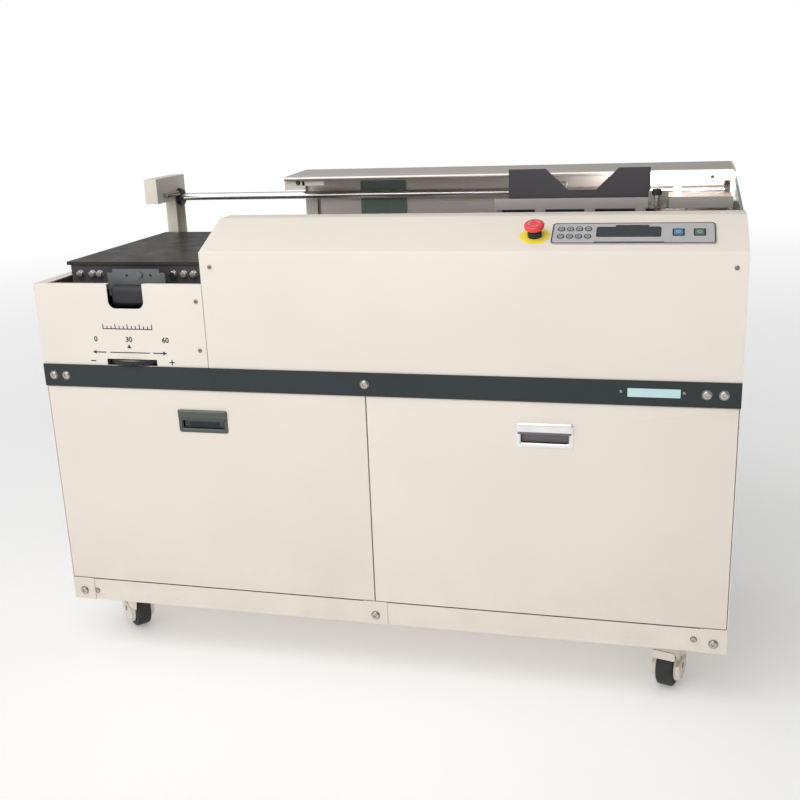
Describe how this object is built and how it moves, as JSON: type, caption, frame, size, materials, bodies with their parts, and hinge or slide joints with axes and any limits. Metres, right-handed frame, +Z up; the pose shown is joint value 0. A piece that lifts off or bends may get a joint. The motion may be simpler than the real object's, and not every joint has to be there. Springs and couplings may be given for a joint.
{
  "type": "perfect binding machine",
  "caption": "Floor-standing perfect binding machine: book clamp on a rod, cutter, glue roller, nipping table, cabinet on casters.",
  "frame": {"origin": "on the floor, under the middle of the machine's bounding box", "axes": "+Z up; the front with the doors and the controls faces -Y; +X runs along the machine to the right, from the nipping table to the clamp's home"},
  "size_m": [1.5, 0.669, 1.097],
  "materials": {
    "cream_paint": "satin powder coat",
    "slate_paint": "satin powder coat",
    "charcoal_paint": "fine textured coat",
    "stainless": "brushed",
    "zinc_plate": "bright zinc plate",
    "chrome": "polished",
    "aluminium": "satin",
    "bronze": "sintered bronze",
    "tinted_sheet": "dark tinted sheet",
    "black_table": "gloss black coat",
    "black_plastic": "moulded",
    "panel_grey": "satin overlay",
    "key_grey": "satin",
    "blue_plastic": "moulded",
    "green_plastic": "moulded",
    "red_plastic": "moulded",
    "tread": "moulded"
  },
  "bodies": {
    "cabinet": {"base_frame": "cream_paint", "side_panels": "cream_paint", "rear_panels": "cream_paint", "corner_brackets": "cream_paint", "middle_band": "slate_paint", "middle_deck": "zinc_plate", "frame_screws": "zinc_plate", "station_front": "cream_paint", "main_cover": "cream_paint", "hood": "stainless", "hood_ends": "cream_paint", "tinted_guards": "tinted_sheet", "rail_post": "cream_paint", "head_block": "cream_paint", "guide_rod": "chrome", "rod_collars": "black_plastic", "home_tray": "zinc_plate", "control_panel": "panel_grey", "stop_base": "black_plastic", "nip_frame": "charcoal_paint", "glue_tank": "aluminium", "motors": "charcoal_paint", "caster_plates": "zinc_plate", "cable_gland": "black_plastic"},
    "left_door": {"door_left": "cream_paint", "handle_left": "chrome"},
    "right_door": {"door_right": "cream_paint", "handle_right": "chrome"},
    "carriage": {"carriage": "aluminium", "carriage_bushes": "bronze"},
    "front_jaw": {"clamp_jaw": "charcoal_paint"},
    "gauge": {"side_gauge": "zinc_plate"},
    "gauge_knob": {"gauge_knob": "black_plastic"},
    "nip_table": {"nip_table": "black_table"},
    "nip_bracket": {"nip_bracket": "zinc_plate", "nip_handle": "black_plastic"},
    "thumbwheel": {"thumbwheel": "black_plastic"},
    "key_1": {"key_1": "key_grey"},
    "key_2": {"key_2": "key_grey"},
    "key_3": {"key_3": "key_grey"},
    "key_4": {"key_4": "key_grey"},
    "key_5": {"key_5": "key_grey"},
    "key_6": {"key_6": "key_grey"},
    "key_7": {"key_7": "key_grey"},
    "key_8": {"key_8": "key_grey"},
    "blue_button": {"blue_button": "blue_plastic"},
    "green_button": {"green_button": "green_plastic"},
    "stop_head": {"stop_head": "red_plastic"},
    "cutter": {"cutter_disc": "stainless"},
    "glue_roller": {"glue_roller": "stainless"},
    "caster_fl": {"caster_fork_fl": "cream_paint"},
    "wheel_fl": {"caster_wheel_fl": "tread"},
    "caster_fr": {"caster_fork_fr": "cream_paint"},
    "wheel_fr": {"caster_wheel_fr": "tread"},
    "caster_rl": {"caster_fork_rl": "cream_paint"},
    "wheel_rl": {"caster_wheel_rl": "tread"},
    "caster_rr": {"caster_fork_rr": "cream_paint"},
    "wheel_rr": {"caster_wheel_rr": "tread"},
    "pedal_l": {"brake_pedal_l": "cream_paint"},
    "pedal_r": {"brake_pedal_r": "cream_paint"}
  },
  "joints": [
    {"name": "left_door_tilt", "type": "hinge", "parent": "cabinet", "child": "left_door", "pos_m": [-0.374, -0.3195, 0.1873], "axis": [1, 0, 0], "range_deg": [0, 30]},
    {"name": "right_door_tilt", "type": "hinge", "parent": "cabinet", "child": "right_door", "pos_m": [0.374, -0.3195, 0.1873], "axis": [1, 0, 0], "range_deg": [0, 30]},
    {"name": "carriage_travel", "type": "slide", "parent": "cabinet", "child": "carriage", "axis": [-1, 0, 0], "range_m": [0, 0.952]},
    {"name": "clamp_close", "type": "slide", "parent": "carriage", "child": "front_jaw", "axis": [0, 1, 0], "range_m": [0, 0.045]},
    {"name": "gauge_shift", "type": "slide", "parent": "carriage", "child": "gauge", "axis": [1, 0, 0], "range_m": [0, 0.03]},
    {"name": "gauge_knob_turn", "type": "hinge", "parent": "gauge", "child": "gauge_knob", "pos_m": [0.578, -0.0598, 1.04], "axis": [0, 0, 1], "range_deg": [-180, 180]},
    {"name": "table_lift", "type": "slide", "parent": "cabinet", "child": "nip_table", "axis": [0, 0, 1], "range_m": [0, 0.006]},
    {"name": "thumbwheel_turn", "type": "hinge", "parent": "cabinet", "child": "thumbwheel", "pos_m": [-0.53, -0.2595, 0.72], "axis": [0, 0, 1], "range_deg": [0, 143]},
    {"name": "nip_shift", "type": "slide", "parent": "cabinet", "child": "nip_bracket", "axis": [0, 1, 0], "range_m": [0, 0.02]},
    {"name": "key_1_press", "type": "slide", "parent": "cabinet", "child": "key_1", "axis": [0, 0.4027, -0.9153], "range_m": [0, 0.001], "stiffness_N_per_m": 300, "springref_m": -0.001},
    {"name": "key_2_press", "type": "slide", "parent": "cabinet", "child": "key_2", "axis": [0, 0.4027, -0.9153], "range_m": [0, 0.001], "stiffness_N_per_m": 300, "springref_m": -0.001},
    {"name": "key_3_press", "type": "slide", "parent": "cabinet", "child": "key_3", "axis": [0, 0.4027, -0.9153], "range_m": [0, 0.001], "stiffness_N_per_m": 300, "springref_m": -0.001},
    {"name": "key_4_press", "type": "slide", "parent": "cabinet", "child": "key_4", "axis": [0, 0.4027, -0.9153], "range_m": [0, 0.001], "stiffness_N_per_m": 300, "springref_m": -0.001},
    {"name": "key_5_press", "type": "slide", "parent": "cabinet", "child": "key_5", "axis": [0, 0.4027, -0.9153], "range_m": [0, 0.001], "stiffness_N_per_m": 300, "springref_m": -0.001},
    {"name": "key_6_press", "type": "slide", "parent": "cabinet", "child": "key_6", "axis": [0, 0.4027, -0.9153], "range_m": [0, 0.001], "stiffness_N_per_m": 300, "springref_m": -0.001},
    {"name": "key_7_press", "type": "slide", "parent": "cabinet", "child": "key_7", "axis": [0, 0.4027, -0.9153], "range_m": [0, 0.001], "stiffness_N_per_m": 300, "springref_m": -0.001},
    {"name": "key_8_press", "type": "slide", "parent": "cabinet", "child": "key_8", "axis": [0, 0.4027, -0.9153], "range_m": [0, 0.001], "stiffness_N_per_m": 300, "springref_m": -0.001},
    {"name": "blue_button_press", "type": "slide", "parent": "cabinet", "child": "blue_button", "axis": [0, 0.4027, -0.9153], "range_m": [0, 0.002], "stiffness_N_per_m": 300, "springref_m": -0.001},
    {"name": "green_button_press", "type": "slide", "parent": "cabinet", "child": "green_button", "axis": [0, 0.4027, -0.9153], "range_m": [0, 0.002], "stiffness_N_per_m": 300, "springref_m": -0.001},
    {"name": "stop_press", "type": "slide", "parent": "cabinet", "child": "stop_head", "axis": [0, 0.4027, -0.9153], "range_m": [0, 0.004], "stiffness_N_per_m": 800, "springref_m": -0.001},
    {"name": "cutter_spin", "type": "hinge", "parent": "cabinet", "child": "cutter", "pos_m": [0.11, 0.0145, 0.9], "axis": [0, 0, 1], "continuous": true},
    {"name": "glue_roller_spin", "type": "hinge", "parent": "cabinet", "child": "glue_roller", "pos_m": [-0.145, 0.0145, 0.897], "axis": [0, 1, 0], "continuous": true},
    {"name": "swivel_fl", "type": "hinge", "parent": "cabinet", "child": "caster_fl", "pos_m": [-0.644, -0.2095, 0.12], "axis": [0, 0, 1], "continuous": true},
    {"name": "roll_fl", "type": "hinge", "parent": "caster_fl", "child": "wheel_fl", "pos_m": [-0.6627, -0.19144, 0.05], "axis": [0.6947, 0.7193, 0], "continuous": true},
    {"name": "swivel_fr", "type": "hinge", "parent": "cabinet", "child": "caster_fr", "pos_m": [0.644, -0.2095, 0.12], "axis": [0, 0, 1], "continuous": true},
    {"name": "roll_fr", "type": "hinge", "parent": "caster_fr", "child": "wheel_fr", "pos_m": [0.63727, -0.23461, 0.05], "axis": [-0.9659, 0.2588, 0], "continuous": true},
    {"name": "swivel_rl", "type": "hinge", "parent": "cabinet", "child": "caster_rl", "pos_m": [-0.644, 0.2265, 0.12], "axis": [0, 0, 1], "continuous": true},
    {"name": "roll_rl", "type": "hinge", "parent": "caster_rl", "child": "wheel_rl", "pos_m": [-0.65029, 0.25173, 0.05], "axis": [0.9703, 0.2419, 0], "continuous": true},
    {"name": "swivel_rr", "type": "hinge", "parent": "cabinet", "child": "caster_rr", "pos_m": [0.644, 0.2265, 0.12], "axis": [0, 0, 1], "continuous": true},
    {"name": "roll_rr", "type": "hinge", "parent": "caster_rr", "child": "wheel_rr", "pos_m": [0.65289, 0.25093, 0.05], "axis": [0.9397, -0.342, 0], "continuous": true},
    {"name": "pedal_l_tread", "type": "hinge", "parent": "caster_fl", "child": "pedal_l", "pos_m": [-0.6699, -0.18449, 0.072], "axis": [0.6947, 0.7193, 0], "range_deg": [-8, 0]},
    {"name": "pedal_r_tread", "type": "hinge", "parent": "caster_fr", "child": "pedal_r", "pos_m": [0.63468, -0.24427, 0.072], "axis": [-0.9659, 0.2588, 0], "range_deg": [-8, 0]}
  ],
  "couplings": [
    {"joint": "nip_shift", "follows": "thumbwheel_turn", "m_per_rad": 0.008}
  ]
}
